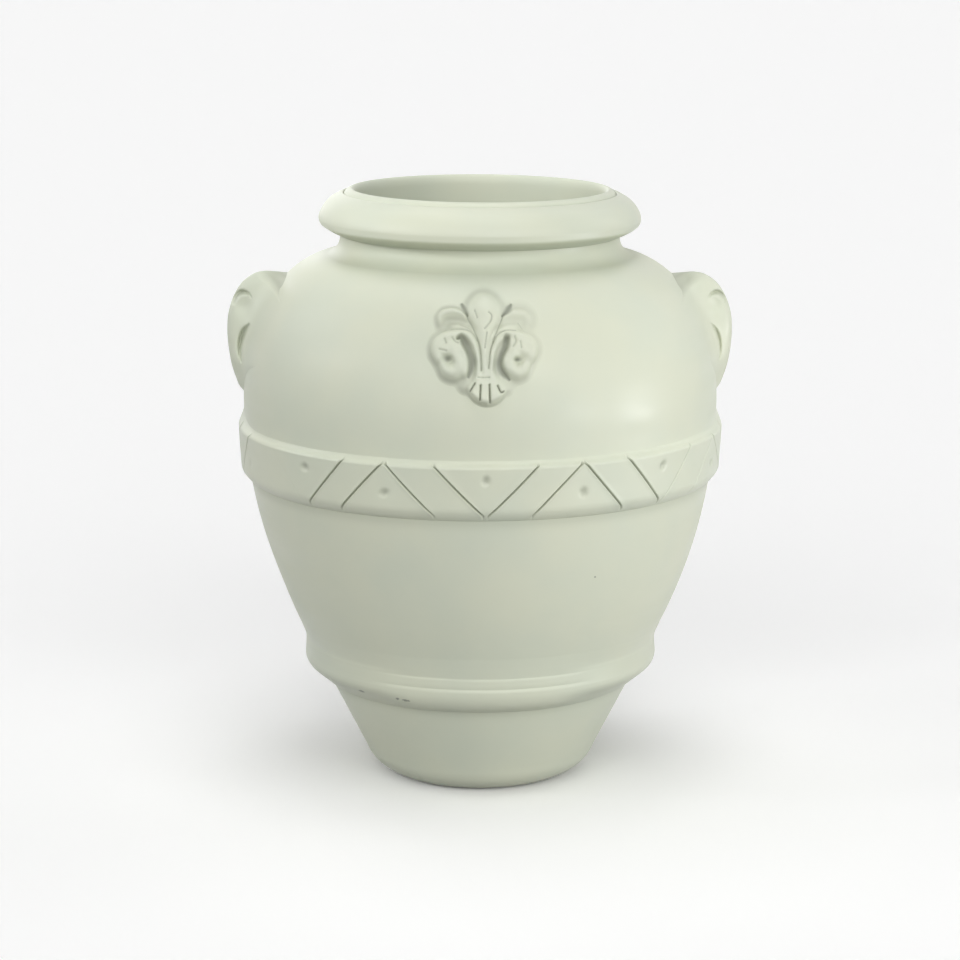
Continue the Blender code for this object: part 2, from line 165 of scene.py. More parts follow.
def inner_radius(z):
    if z >= GIRTH_Z:
        share = min(1.0, (z - GIRTH_Z) / (SHOULDER_RISE - WALL))
        return NECK_RADIUS + (BELLY_RADIUS - NECK_RADIUS - WALL) * math.sqrt(1 - share**2)
    return outer_radius(z) - WALL


def spread(low, high, count):
    return [low + (high - low) * i / (count - 1) for i in range(count)]


def bow(start, pull, end, count):
    """Points of a quadratic curve from start to end, drawn towards pull."""
    points = []
    for t in spread(0, 1, count):
        weights = ((1 - t) ** 2, 2 * t * (1 - t), t**2)
        points.append(tuple(sum(w * p[i] for w, p in zip(weights, (start, pull, end))) for i in (0, 1)))
    return points


def smooth_line(points, steps):
    """A smooth curve through the given points, with this many steps between each two."""
    ends = [points[0], *points, points[-1]]
    line = []
    for a, b, c, d in zip(ends, ends[1:], ends[2:], ends[3:]):
        for i in range(steps):
            t = i / steps
            line.append(tuple(
                q + 0.5 * t * (r - p + t * (2 * p - 5 * q + 4 * r - s + t * (3 * q - p - 3 * r + s)))
                for p, q, r, s in zip(a, b, c, d)
            ))
    return [*line, tuple(points[-1])]


# Node trees

def add(tree, kind, feeds=None, **settings):
    """Adds a node, sets its properties and joins or sets its inputs."""
    made = tree.nodes.new(kind)
    for key, value in settings.items():
        setattr(made, key, value)
    for key, value in (feeds or {}).items():
        if isinstance(value, bpy.types.NodeSocket):
            tree.links.new(value, made.inputs[key])
        else:
            made.inputs[key].default_value = value
    return made


def sums(tree, operation, a, b=0.0, c=0.0):
    """One step of arithmetic."""
    return add(tree, "ShaderNodeMath", {0: a, 1: b, 2: c}, operation=operation).outputs[0]


def times(tree, a, b):
    return sums(tree, "MULTIPLY", a, b)


def vectors(tree, operation, a, b=(0, 0, 0), output=0):
    """One step of vector arithmetic."""
    return add(tree, "ShaderNodeVectorMath", {0: a, 1: b}, operation=operation).outputs[output]


def scaled(tree, vector, amount):
    return add(tree, "ShaderNodeVectorMath", {0: vector, "Scale": amount}, operation="SCALE").outputs[0]


def new_tree(name, kind, takes, gives):
    """An empty group. takes and gives list its inputs and outputs as (name, socket type, value or None)."""
    tree = bpy.data.node_groups.new(name, kind)
    for way, sockets in (("INPUT", takes), ("OUTPUT", gives)):
        for label, socket_type, value in sockets:
            socket = tree.interface.new_socket(label, in_out=way, socket_type="NodeSocket" + socket_type)
            if value is not None:
                socket.default_value = value
    return tree, tree.nodes.new("NodeGroupInput").outputs, tree.nodes.new("NodeGroupOutput").inputs


def shape_tree(name, takes):
    """An empty group that takes a shape and gives it back changed."""
    shape = ("Geometry", "Geometry", None)
    return new_tree(name, "GeometryNodeTree", [shape, *takes], [shape])


def noise_at(tree, place, size, seed, detail=1.5):
    """Soft noise from -2 to 2, in lumps of about this size."""
    noise = add(tree, "ShaderNodeTexNoise", {
        "Vector": place, "W": seed, "Scale": sums(tree, "DIVIDE", 1.0, size),
        "Detail": detail, "Roughness": 0.4,
    }, noise_dimensions="4D").outputs[0]
    return sums(tree, "MULTIPLY_ADD", noise, 4.0, -2.0)


def stored(tree, name):
    """A value kept on the points of a mesh."""
    kept = add(tree, "GeometryNodeInputNamedAttribute", {"Name": name}, data_type="FLOAT")
    return kept.outputs["Attribute"]


def between(tree, value, low, high):
    """0 at low, 1 at high, eased."""
    return add(tree, "ShaderNodeMapRange", {"Value": value, "From Min": low, "From Max": high},
               interpolation_type="SMOOTHSTEP").outputs[0]


HAND_INPUTS = [
    ("Wander", "Float", 0.5 * MM), ("Wander Size", "Float", 0.13),
    ("Lumps", "Float", 0.0), ("Lump Size", "Float", 0.03),
    ("Lean", "Float", 0.006), ("Flat", "Float", 2.6 * MM),
]
FINISH_INPUTS = [*HAND_INPUTS, ("Finish", "Material", None)]


def hand_tree():
    """What the hand and wet clay do: the wall wanders, the belly's left is flatter, the top leans."""
    tree, takes, gives = shape_tree("hand_formed", HAND_INPUTS)
    place = add(tree, "GeometryNodeInputPosition").outputs[0]
    wander = times(tree, noise_at(tree, place, takes["Wander Size"], 3.0), takes["Wander"])
    lumps = times(tree, noise_at(tree, place, takes["Lump Size"], 8.0), takes["Lumps"])
    reach = sums(tree, "DIVIDE", vectors(tree, "DISTANCE", place, FLAT_PLACE, output="Value"), FLAT_REACH)
    flat = sums(tree, "EXPONENT", times(tree, sums(tree, "POWER", reach, 2.0), -1.0))
    amount = sums(tree, "ADD", wander, lumps)
    amount = sums(tree, "SUBTRACT", amount, times(tree, flat, takes["Flat"]))
    away = vectors(tree, "NORMALIZE", vectors(tree, "MULTIPLY", place, (1, 1, 0)))
    parts = add(tree, "ShaderNodeSeparateXYZ", {0: place}).outputs
    high = between(tree, parts["Z"], *LEAN_HEIGHTS)
    lean = times(tree, takes["Lean"], -1.0)
    sink = times(tree, times(tree, parts["X"], high), lean)
    down = add(tree, "ShaderNodeCombineXYZ", {"Z": sink}).outputs[0]
    offset = vectors(tree, "ADD", scaled(tree, away, amount), down)
    moved = add(tree, "GeometryNodeSetPosition", {"Geometry": takes["Geometry"], "Offset": offset})
    tree.links.new(moved.outputs[0], gives["Geometry"])
    return tree


def hand_finish(tree, takes, gives, shape, hand):
    """Ends a tree: the hand's unevenness, one plain mesh and its finish."""
    uneven = add(tree, "GeometryNodeGroup", node_tree=hand)
    tree.links.new(shape, uneven.inputs["Geometry"])
    for label, *_ in HAND_INPUTS:
        tree.links.new(takes[label], uneven.inputs[label])
    whole = add(tree, "GeometryNodeRealizeInstances", {0: uneven.outputs[0]}).outputs[0]
    painted = add(tree, "GeometryNodeSetMaterial", {"Geometry": whole, "Material": takes["Finish"]})
    tree.links.new(painted.outputs[0], gives["Geometry"])
    return tree


def pressed_tree(hand):
    """Finishes a sprig or an ear that is modelled by hand."""
    tree, takes, gives = shape_tree("pressed_on", FINISH_INPUTS)
    return hand_finish(tree, takes, gives, takes["Geometry"], hand)


def wheel_tree(hand):
    """Turns a closed outline round the jar's axis, fuller at the front and the back."""
    tree, takes, gives = shape_tree("turned_on_the_wheel", [
        ("Segments", "Int", SEGMENTS), ("Wheel Radius", "Float", WHEEL_RADIUS),
        ("Front Starts", "Float", FRONT[0]), ("Front Full", "Float", FRONT[1]), *FINISH_INPUTS,
    ])
    outline = add(tree, "GeometryNodeMeshToCurve", {0: takes["Geometry"]}).outputs[0]
    wheel = add(tree, "GeometryNodeCurvePrimitiveCircle", {
        "Resolution": takes["Segments"], "Radius": takes["Wheel Radius"],
    }).outputs[0]
    ring = add(tree, "GeometryNodeCurveToMesh", {"Curve": wheel, "Profile Curve": outline}).outputs[0]
    place = add(tree, "GeometryNodeInputPosition").outputs[0]
    away = vectors(tree, "NORMALIZE", vectors(tree, "MULTIPLY", place, (1, 1, 0)))
    facing = sums(tree, "ABSOLUTE", add(tree, "ShaderNodeSeparateXYZ", {0: away}).outputs["Y"])
    front = between(tree, facing, takes["Front Starts"], takes["Front Full"])
    offset = scaled(tree, away, times(tree, stored(tree, "fuller"), front))
    fuller = add(tree, "GeometryNodeSetPosition", {"Geometry": ring, "Offset": offset}).outputs[0]
    return hand_finish(tree, takes, gives, fuller, hand)


def incising_tree(hand):
    """Sinks a drawn line and a pressed dot into clay, by the distances stored on its points."""
    tree, takes, gives = shape_tree("incised_marks", [
        ("Line Width", "Float", 1.15 * MM), ("Line Depth", "Float", 2.3 * MM), ("Burr", "Float", 0.25 * MM),
        ("Dot Radius", "Float", 4.4 * MM), ("Dot Depth", "Float", 2.2 * MM), *FINISH_INPUTS,
    ])

    line_share = stored(tree, "line_share")
    reach = sums(tree, "DIVIDE", stored(tree, "to_line"), takes["Line Width"])
    cut = sums(tree, "MAXIMUM", sums(tree, "SUBTRACT", 1.0, sums(tree, "POWER", reach, 1.5)), 0.0)
    cut = times(tree, cut, line_share)
    beside = sums(tree, "POWER", sums(tree, "DIVIDE", sums(tree, "SUBTRACT", reach, 1.5), 0.5), 2.0)
    burr = sums(tree, "EXPONENT", times(tree, beside, -1.0))
    burr = times(tree, burr, sums(tree, "POWER", line_share, 2.0))
    dish = sums(tree, "DIVIDE", stored(tree, "to_dot"), takes["Dot Radius"])
    press = sums(tree, "EXPONENT", times(tree, sums(tree, "POWER", dish, 2.6), -1.3))
    press = times(tree, press, stored(tree, "dot_share"))
    depth = times(tree, cut, takes["Line Depth"])
    depth = sums(tree, "ADD", depth, times(tree, press, takes["Dot Depth"]))
    depth = sums(tree, "SUBTRACT", depth, times(tree, burr, takes["Burr"]))
    normal = add(tree, "GeometryNodeInputNormal").outputs[0]
    offset = scaled(tree, normal, times(tree, depth, -1.0))
    marked = add(tree, "GeometryNodeSetPosition", {"Geometry": takes["Geometry"], "Offset": offset})
    # painted shade in the drawn lines and pressed dots
    shade = sums(tree, "MAXIMUM", times(tree, cut, 0.9), times(tree, press, 0.5))
    shaded = add(tree, "GeometryNodeStoreNamedAttribute", {
        "Geometry": marked.outputs[0], "Name": "hollow_painted_shade", "Value": shade,
    }, data_type="FLOAT", domain="POINT")
    return hand_finish(tree, takes, gives, shaded.outputs[0], hand)


def formed(name, mesh, tree, values, smooth_angle=50.0):
    """Runs a tree on a mesh and keeps the result as a plain, closed, smooth-shaded piece."""
    piece = bpy.data.objects.new(name, mesh)
    bpy.context.scene.collection.objects.link(piece)
    modifier = piece.modifiers.new("form", "NODES")
    modifier.node_group = tree
    for socket in tree.interface.items_tree:
        if socket.in_out == "INPUT" and socket.name in values:
            modifier[socket.identifier] = values[socket.name]
    graph = bpy.context.evaluated_depsgraph_get()
    plain = bpy.data.meshes.new_from_object(piece.evaluated_get(graph))
    piece.modifiers.clear()
    piece.data = plain
    plain.name = name
    outward(plain)
    plain.shade_smooth()
    plain.set_sharp_from_angle(angle=math.radians(smooth_angle))
    return piece


def outward(mesh):
    """Drops loose points and turns every face outwards."""
    bm = bmesh.new()
    bm.from_mesh(mesh)
    bmesh.ops.delete(bm, geom=[v for v in bm.verts if not v.link_faces], context="VERTS")
    bmesh.ops.recalc_face_normals(bm, faces=bm.faces[:])
    bm.to_mesh(mesh)
    bm.free()


def store(mesh, name, values):
    """Keeps one value on every point of a mesh."""
    values = np.asarray(values, np.float32).reshape(-1)
    mesh.attributes.new(name, "FLOAT", "POINT").data.foreach_set("value", values)


def outline_mesh(name, points, wheel_radius):
    """A closed outline of (radius, height, painted shade, fuller) points as edges, measured from the wheel.
    """
    mesh = bpy.data.meshes.new(name)
    corners = [(point[0] - wheel_radius, -point[1], 0) for point in points]
    mesh.from_pydata(corners, [(i, (i + 1) % len(corners)) for i in range(len(corners))], [])
    store(mesh, "hollow_painted_shade", [point[2] if len(point) > 2 else 0 for point in points])
    store(mesh, "fuller", [point[3] if len(point) > 3 else 0 for point in points])
    return mesh


def keep(piece, slot, *nodes):
    """The piece stands for these solids and rides with the jar."""
    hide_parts(*nodes)
    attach(piece, "root")
    return piece


# Finishes

CHIP_COLOUR = (0.27, 0.29, 0.23, 1)
# Depth of a chip against the streaks, and the height of the streaks in metres
CHIP_DEPTH = -6.0
STREAK_HEIGHT = 0.00006


def object_place(tree):
    return add(tree, "ShaderNodeTexCoord").outputs["Object"]


def mixed(tree, factor, a, b, blend="MIX"):
    return add(tree, "ShaderNodeMix", {0: factor, 6: a, 7: b}, data_type="RGBA", blend_type=blend).outputs[2]


def uneven_paint_group():
    """Broad, faint patches of a cooler and a warmer tone, where the paint lies thicker or thinner."""
    tree, takes, gives = new_tree("uneven_paint", "ShaderNodeTree", [
        ("Colour", "Color", (0.6, 0.6, 0.5, 1)), ("Strength", "Float", 1.0), ("Size", "Float", 0.08),
    ], [("Colour", "Color", None)])
    noise = noise_at(tree, object_place(tree), takes["Size"], 1.0, 3.0)
    tint = mixed(tree, between(tree, noise, -0.9, 0.9), (0.965, 0.98, 0.985, 1), (1.03, 1.02, 1.0, 1))
    tree.links.new(mixed(tree, takes["Strength"], takes["Colour"], tint, "MULTIPLY"), gives["Colour"])
    return tree


def smoothing_group():
    """Faint level streaks, left by the hand that smoothed the clay as the jar was turned."""
    tree, takes, gives = new_tree("smoothing_streaks", "ShaderNodeTree", [
        ("Shine", "Float", 0.42), ("Change", "Float", 0.1),
    ], [("Roughness", "Float", None), ("Height", "Float", None)])
    long = vectors(tree, "MULTIPLY", object_place(tree), (0.12, 0.12, 1.0))
    noise = noise_at(tree, long, 0.016, 2.0, 2.0)
    tree.links.new(sums(tree, "MULTIPLY_ADD", noise, takes["Change"], takes["Shine"]), gives["Roughness"])
    tree.links.new(noise, gives["Height"])
    return tree


def painted_shade_group():
    """Painted shade: a darker colour in carved lines, hollows, creases and under mouldings, where shade
    falls.
    """
    tree, takes, gives = new_tree("painted_shade", "ShaderNodeTree", [
        ("Colour", "Color", (0.6, 0.6, 0.5, 1)), ("Shade", "Color", (0.3, 0.32, 0.24, 1)),
    ], [("Colour", "Color", None)])
    hollow_painted_shade = add(tree, "ShaderNodeAttribute", attribute_name="hollow_painted_shade").outputs["Fac"]
    tree.links.new(mixed(tree, hollow_painted_shade, takes["Colour"], takes["Shade"]), gives["Colour"])
    return tree


def nick_group():
    """A chip or pinhole round one place: 1 inside, ragged at its edge."""
    tree, takes, gives = new_tree("nick", "ShaderNodeTree", [
        ("Place", "Vector", (0, 0, 0)), ("Reach", "Vector", (1, 1, 1)),
    ], [("Mask", "Float", None)])
    place = object_place(tree)
    offset = vectors(tree, "DIVIDE", vectors(tree, "SUBTRACT", place, takes["Place"]), takes["Reach"])
    away = vectors(tree, "LENGTH", offset, output="Value")
    ragged = sums(tree, "MULTIPLY_ADD", noise_at(tree, place, 0.002, 5.0), 0.3, away)
    tree.links.new(between(tree, ragged, 1.1, 0.6), gives["Mask"])
    return tree


def pinhole_group():
    """A few pinholes, scattered thinly over the paint."""
    tree, takes, gives = new_tree("pinholes", "ShaderNodeTree", [
        ("Share", "Float", 0.25),
    ], [("Mask", "Float", None)])
    cells = add(tree, "ShaderNodeTexVoronoi", {"Vector": object_place(tree), "Scale": 16.0}).outputs
    chance = add(tree, "ShaderNodeSeparateColor", {0: cells["Color"]}).outputs[0]
    chosen = sums(tree, "LESS_THAN", chance, takes["Share"])
    hole = between(tree, cells["Distance"], 0.014, 0.008)
    tree.links.new(times(tree, hole, chosen), gives["Mask"])
    return tree


def painted_clay(name, groups, colour, shade, shine, nicks=()):
    """Painted, satin clay. nicks lists (place, reach) of single chips, in metres."""
    material = bpy.data.materials.new(name)
    material.use_nodes = True
    tree = material.node_tree
    shader = tree.nodes["Principled BSDF"]

    def group(label, feeds=None):
        return add(tree, "ShaderNodeGroup", feeds, node_tree=groups[label])

    tone = group("paint", {"Colour": (*colour, 1)}).outputs[0]
    # painted shade: the colour darkens in creases, hollows and undersides
    tone = group("hollow_painted_shade", {"Colour": tone, "Shade": (*shade, 1)}).outputs[0]
    chips = group("pinholes").outputs[0]
    for place, reach in nicks:
        chips = sums(tree, "MAXIMUM", chips, group("nick", {"Place": place, "Reach": reach}).outputs[0])
    streaks = group("smoothing", {"Shine": shine}).outputs
    tree.links.new(mixed(tree, chips, tone, CHIP_COLOUR), shader.inputs["Base Color"])
    tree.links.new(streaks["Roughness"], shader.inputs["Roughness"])
    height = sums(tree, "MULTIPLY_ADD", chips, CHIP_DEPTH, streaks["Height"])
    bump = add(tree, "ShaderNodeBump", {"Height": height, "Strength": 0.5, "Distance": STREAK_HEIGHT})
    tree.links.new(bump.outputs[0], shader.inputs["Normal"])
    return material


# Turned pieces

def metres(points):
    """Outline points (radius, height, painted shade, fuller) from millimetres to metres; the shade is a
    share.
    """
    return [(p[0] * MM, p[1] * MM, *p[2:3], *(fuller * MM for fuller in p[3:])) for p in points]


def painted_shadow_below_mouldings(z):
    """Painted shadow on the wall below the ring and the band, deepest at their lower edges."""
    return sum(deep * math.exp(-(((edge - z) / UNDER_REACH) ** 2)) for edge, deep in UNDER_SHADE)


def wall_outline():
    """The whole wall in section: base, outside, collar, lip, inside and floor."""
    points = [(DRAIN_RADIUS, 0), *bow(*BASE_EDGE, 12)]
    points += [(outer_radius(z), z, painted_shadow_below_mouldings(z)) for z in spread(FOOT_Z, GIRTH_Z, 120)[1:]]
    top = math.acos((FILLET_START - NECK_RADIUS) / (BELLY_RADIUS - NECK_RADIUS))
    for share in (math.sin(a) for a in spread(0, top, 44)[1:]):
        z = GIRTH_Z + SHOULDER_RISE * share
        points.append((outer_radius(z), z - SETTLE * share**8))
    low = points[-1][1]
    # painted shade in the collar's fillet under the roll, deeper towards the roll
    for a in spread(0.2, math.pi / 2, 12):
        out, up = COLLAR_FILLET * (1 - math.sin(a)), COLLAR_FILLET * (1 - math.cos(a))
        points.append((COLLAR_RADIUS + out, low + up, 0.04 * a))
    points += [*metres(BEHIND_ROLL), *bow(*LIP, 10), *bow(*THROAT, 10)[1:]]
    points += [(COLLAR_BORE, z) for z in spread(*BORE_HEIGHTS, 8)]
    points += bow(*NECK_INSIDE, 5)
    heights = [GIRTH_Z + (SHOULDER_RISE - WALL) * math.sin(a) for a in spread(1.45, 0, 16)]
    points += [(inner_radius(z), z) for z in (*heights, *spread(GIRTH_Z, INSIDE_FOOT, 30)[1:])]
    return [*points, *bow(*FLOOR_CORNER, 5), (DRAIN_RADIUS, FLOOR)]


def make_turned(tree, finish):
    """The wall, the rolled rim round its collar and the ring where the foot meets the belly."""
    def turned(name, points, slot, *nodes, lumps=0.0, lump_size=0.03, front=FRONT):
        piece = formed(name, outline_mesh(name, points, WHEEL_RADIUS), tree, {
            "Wheel Radius": WHEEL_RADIUS, "Front Starts": front[0], "Front Full": front[1],
            "Lumps": lumps, "Lump Size": lump_size, "Finish": finish[slot],
        })
        keep(piece, slot, *nodes)

    turned(
        "jar_wall", wall_outline(), "painted_wall", "floor_slab", "foot_course", "lower_belly_course",
        "upper_belly_course", "shoulder_course", "neck_collar", lumps=0.06 * MM, lump_size=0.04,
    )
    roll_line = metres(smooth_line([*ROLL_UNDER, *ROLL_OVER], 4) + ROLL_BACK)
    turned(
        "rolled_rim", roll_line, "painted_moulding", "rolled_rim",
        lumps=0.42 * MM, lump_size=0.035, front=ROLL_FRONT,
    )
    back = [(outer_radius(z * MM) - RING_BEDDING * MM, z * MM, 0) for z in RING_BACK]
    ring_line = metres(smooth_line(RING, 4)) + back
    turned("base_ring", ring_line, "painted_moulding", "base_ring", lumps=0.12 * MM)


# Zigzag band

def drawn_legs():
    """All legs round the jar in order, those at the back spaced evenly."""
    legs = list(FRONT_LEGS)
    for angle, way, _ in back_motifs():
        low, high = (BACK_POINT, BACK_OPEN) if way == "down" else (BACK_OPEN, BACK_POINT)
        legs += [(angle + side * low, angle + side * high, BACK_DEPTH) for side in (-1, 1)]
    return np.array(sorted(legs, key=lambda leg: leg[0] + leg[1]))


def back_motifs():
    """The motifs round the back, as (degrees from the front, way, depth of the dot)."""
    first, last = FRONT_MOTIFS[-1][0], FRONT_MOTIFS[0][0] + 360
    angles = spread(first, last, BACK_MOTIFS + 2)[1:-1]
    return [(angle, "down" if i % 2 == 0 else "up", 1) for i, angle in enumerate(angles)]


def band_columns(legs, share):
    """Azimuths along one row, and how far each lies from its leg in millimetres; columns follow the legs."""
    near = np.array([0.3, 0.6, 0.9, 1.2, 1.6, 2.1, 2.8, 3.6])
    far = np.array([0.2, 0.38, 0.54, 0.66, 0.74, 0.8, 0.85, 0.89, 0.93, 0.965])
    per_degree = math.radians(1) * BAND_RADIUS
    line = legs[:, 0] + share * (legs[:, 1] - legs[:, 0])
    line = line + 0.2 * np.sin(math.pi * share) * np.sin(legs[:, 0] * 1.7)
    before = np.roll(line, 1) - np.where(np.arange(len(line)) == 0, 360, 0)
    after = np.roll(line, -1) + np.where(np.arange(len(line)) == len(line) - 1, 360, 0)
    columns = []
    for way, border in ((-1, (before + line) / 2), (1, (line + after) / 2)):
        room = np.abs(border - line)[:, None] * per_degree
        close = near * np.minimum(1, 0.7 * room / near[-1])
        wide = close[:, -1:] + (room - close[:, -1:]) * far
        columns.append(way * np.concatenate([close, wide, room], axis=1))
    left, right = columns
    offset = np.concatenate([left[:, ::-1], np.zeros((len(line), 1)), right[:, :-1]], axis=1)
    return (line[:, None] + offset / per_degree).reshape(-1), np.abs(offset).reshape(-1), offset.shape[1]


def make_band(tree, finish):
    """An applied strip whose mesh follows the drawn legs, so that the tool's lines stay crisp."""
    legs = drawn_legs()
    low, high = BAND_UNDER[-1], BAND_OVER[0]
    section = [point * 2 for point in BAND_UNDER]
    face = zip(spread(low[0], high[0], FACE_ROWS), spread(low[1], high[1], FACE_ROWS))
    section += [point * 2 for point in face][1:-1]
    section += BAND_OVER
    front_rows = len(section)
    section += [(outer_radius(z * MM) / MM - BAND_BEDDING, z) * 2 for z in BAND_BACK]
    slant = math.cos(math.atan2(math.radians(BACK_OPEN) * BAND_RADIUS, LINE_ENDS[1] - LINE_ENDS[0]))
    azimuths, to_line, heights, radii = [], [], [], []
    for j, (radius, z, side_radius, side_z) in enumerate(section):
        share = min(max((z - LINE_ENDS[0]) / (LINE_ENDS[1] - LINE_ENDS[0]), 0), 1)
        around, beside, per_leg = band_columns(legs, share)
        beyond = max(LINE_ENDS[0] - z, z - LINE_ENDS[1], 0)
        sideways = np.sin(np.radians(around)) ** SIDE_SHARPNESS
        azimuths.append(around)
        to_line.append(np.hypot(beside * slant, beyond) if j < front_rows else beside + UNMARKED)
        heights.append(z + sideways * (side_z - z))
        radii.append(radius + sideways * (side_radius - radius))
    azimuths, to_line, heights, radii = (np.array(v) for v in (azimuths, to_line, heights, radii))
    to_dot, dot_share = np.full(azimuths.shape, UNMARKED), np.ones(azimuths.shape)
    for i, (angle, way, depth) in enumerate([*FRONT_MOTIFS, *back_motifs()]):
        tilt = 0.9 + 0.8 * math.sin(5 * i)
        across = (azimuths - angle + 180) % 360 - 180
        across, up = across * math.radians(1) * BAND_RADIUS, heights - DOT_HEIGHTS[way]
        long = across * math.cos(tilt) + up * math.sin(tilt)
        short = up * math.cos(tilt) - across * math.sin(tilt)
        reach = np.hypot(long / 1.15, short / 0.9)
        dot_share[reach < to_dot] = depth
        to_dot = np.minimum(to_dot, reach)
    to_dot[front_rows:] = UNMARKED

    high, wide = azimuths.shape
    turn = np.radians(azimuths)
    points = np.stack([radii * np.sin(turn), -radii * np.cos(turn), heights], axis=-1) * MM
    number = np.arange(high * wide).reshape(high, wide)
    above, beside = np.roll(number, -1, axis=0), np.roll(number, -1, axis=1)
    faces = np.stack([number, beside, np.roll(above, -1, axis=1), above], axis=-1).reshape(-1, 4)
    mesh = bpy.data.meshes.new("zigzag_band")
    mesh.from_pydata(points.reshape(-1, 3), [], faces.tolist())
    store(mesh, "to_line", to_line * MM)
    store(mesh, "to_dot", to_dot * MM)
    store(mesh, "dot_share", dot_share)
    store(mesh, "line_share", np.tile(np.repeat(legs[:, 2], per_leg), (high, 1)))
    outward(mesh)
    piece = formed("zigzag_band", mesh, tree, {
        "Lumps": 0.14 * MM, "Lump Size": 0.022, "Finish": finish["painted_moulding"],
    }, 70.0)
    keep(piece, "painted_moulding", "zigzag_band")


# Sculpting in clay

def nearest(x, y, line):
    """Distance of every point to a line of (x, y, ...) places, and the line's values there."""
    line = np.array(line)
    reach = np.full(x.shape, 1e9)
    index = np.zeros(x.shape, int)
    for i, place in enumerate(line):
        d = (x - place[0]) ** 2 + (y - place[1]) ** 2
        closer = d < reach
        reach[closer] = d[closer]
        index[closer] = i
    return np.sqrt(reach), [line[index, k] for k in range(line.shape[1])]


def merge(a, b, blend):
    """The higher of two clay surfaces, thumbed together over a blend width."""
    h = np.clip(0.5 + 0.5 * (a - b) / blend, 0, 1)
    return a * h + b * (1 - h) + blend * h * (1 - h)


def ease(low, high, value):
    """A smooth step from 0 to 1 between two values."""
    t = np.clip((value - low) / (high - low), 0, 1)
    return t * t * (3 - 2 * t)


def soften(height, reach):
    """Thumbs a surface smooth: a bell-shaped average over this many cells."""
    width = int(3 * reach) + 1
    bell = np.exp(-0.5 * (np.arange(-width, width + 1) / reach) ** 2)
    bell /= bell.sum()

    def along(cells):
        return np.convolve(np.pad(cells, width, mode="edge"), bell, "valid")

    return np.apply_along_axis(along, 1, np.apply_along_axis(along, 0, height))


def roll(x, y, line, steps=8, flat=2.0, edge=0.6):
    """A coil laid along (x, y, half width, height) places. A larger edge slopes its sides more gently."""
    reach, (_, _, half, top) = nearest(x, y, smooth_line(line, steps))
    t = reach / half
    return np.where(t < 1, top * np.clip(1 - t**flat, 0, 1) ** edge, -1.0 * (reach - half))


def pressed(x, z, lift):
    """Points lifted off the wall's outside, at x across and height z seen from the front, in metres."""
    wall, step = np.vectorize(outer_radius), 1e-4
    radius = wall(z)
    slope = (wall(z + step) - wall(z - step)) / (2 * step)
    y = -np.sqrt(radius**2 - x**2)
    size = np.sqrt(1 + slope**2)
    out, up = lift / radius / size, -slope / size * lift
    return np.stack([x + x * out, y + y * out, z + up], axis=-1)


# Lily, in millimetres: places as (x across, height above the tie, half width, height off the wall)

TIE_Z = 447.0
LILY_X = -0.8
PETAL = [
    (0, -2, 3.2, 6.5), (0, 8, 3.4, 7), (0, 22, 4.8, 7.8), (0, 31, 6.8, 8.4), (0, 40, 9.4, 9),
    (0, 47, 12.8, 9.8), (0, 52.5, 16.2, 10.4), (0, 55.5, 17.2, 10.4),
]
STEM = [(6, -5, 4.2, 6.4), (6, 8, 4, 7), (6.8, 17, 4.2, 7.6), (9, 26, 4.6, 8), (13.5, 32, 4.6, 8.4)]
BLADE = [
    (7.6, 31, 2, 7.2), (10.6, 36.4, 2.4, 7.2), (15.5, 40.4, 2.6, 6.8), (22, 42.8, 2.4, 6), (30, 43.4, 1.8, 4),
]
LEAF = [
    (17, 50, 2.6, 5.5), (21, 53.2, 3.8, 7), (29, 54.6, 4.4, 7.4), (36.5, 53.6, 4.4, 7), (40.4, 50.2, 4, 6),
    (41, 46.4, 3.2, 4),
]
COIL = [
    (13.5, 32, 4.6, 8.4), (20, 35.2, 5.2, 9), (28, 35, 5.8, 9), (36, 32, 6.8, 9), (42, 27, 7.4, 9),
    (43.6, 20.5, 6.6, 8.8), (41.6, 15, 5, 8.4),
]
KNOB = [
    (37, 9, 5.8, 8.6), (34, 4.5, 7, 9.4), (27.5, 3.8, 7.4, 10.2), (23, 8.5, 7.2, 10.6),
    (23.5, 14.5, 6.6, 10.2),
]
INNER = [(22, 30, 5, 8.4), (18.5, 21, 5.2, 8.8), (17.5, 12, 5.6, 9.2), (19, 3.5, 5, 8.6)]
HEART = [(36, 22, 7.6, 9.2), (30, 25, 7.6, 9.4), (27, 20, 7.6, 9.8)]
# Where the sides differ: how high the leaf stands, the eye as (x, height, half width, half height), hollows
# with their half width, and tool lines
LEFT = {
    "leaf": 1.25,
    "eye": (33.8, 15, 3.3, 2.5),
    "gap": [
        (24.8, 32.4, 1), (21.4, 33.2, 2.2), (18.2, 28.8, 3.2), (14.4, 21.2, 2.8), (11.8, 13.6, 3),
        (12.6, 6, 2.4), (15.2, -0.4, 1.4),
    ],
    "wedge": [(20.8, 62.4, 1.4), (19, 59.4, 2.7), (17, 55.4, 2.1), (15.4, 52, 1)],
    "edge": [(16.6, 53), (14.6, 48.6), (11.3, 43.6), (7.4, 34.6), (4.4, 24.6), (3.3, 13.8), (3.2, 5)],
    "crease": [(6.2, 30.6), (10.2, 36.3), (15.5, 39.4), (24.8, 40.6), (31, 40.4)],
    "strokes": [
        [(36.2, 31), (35, 28)], [(29.6, 32.5), (26.5, 29.5), (23.6, 28.2)],
        [(8.8, 36.3), (14.2, 41), (22, 44.3)], [(41, 22.3), (34.6, 21)],
    ],
}
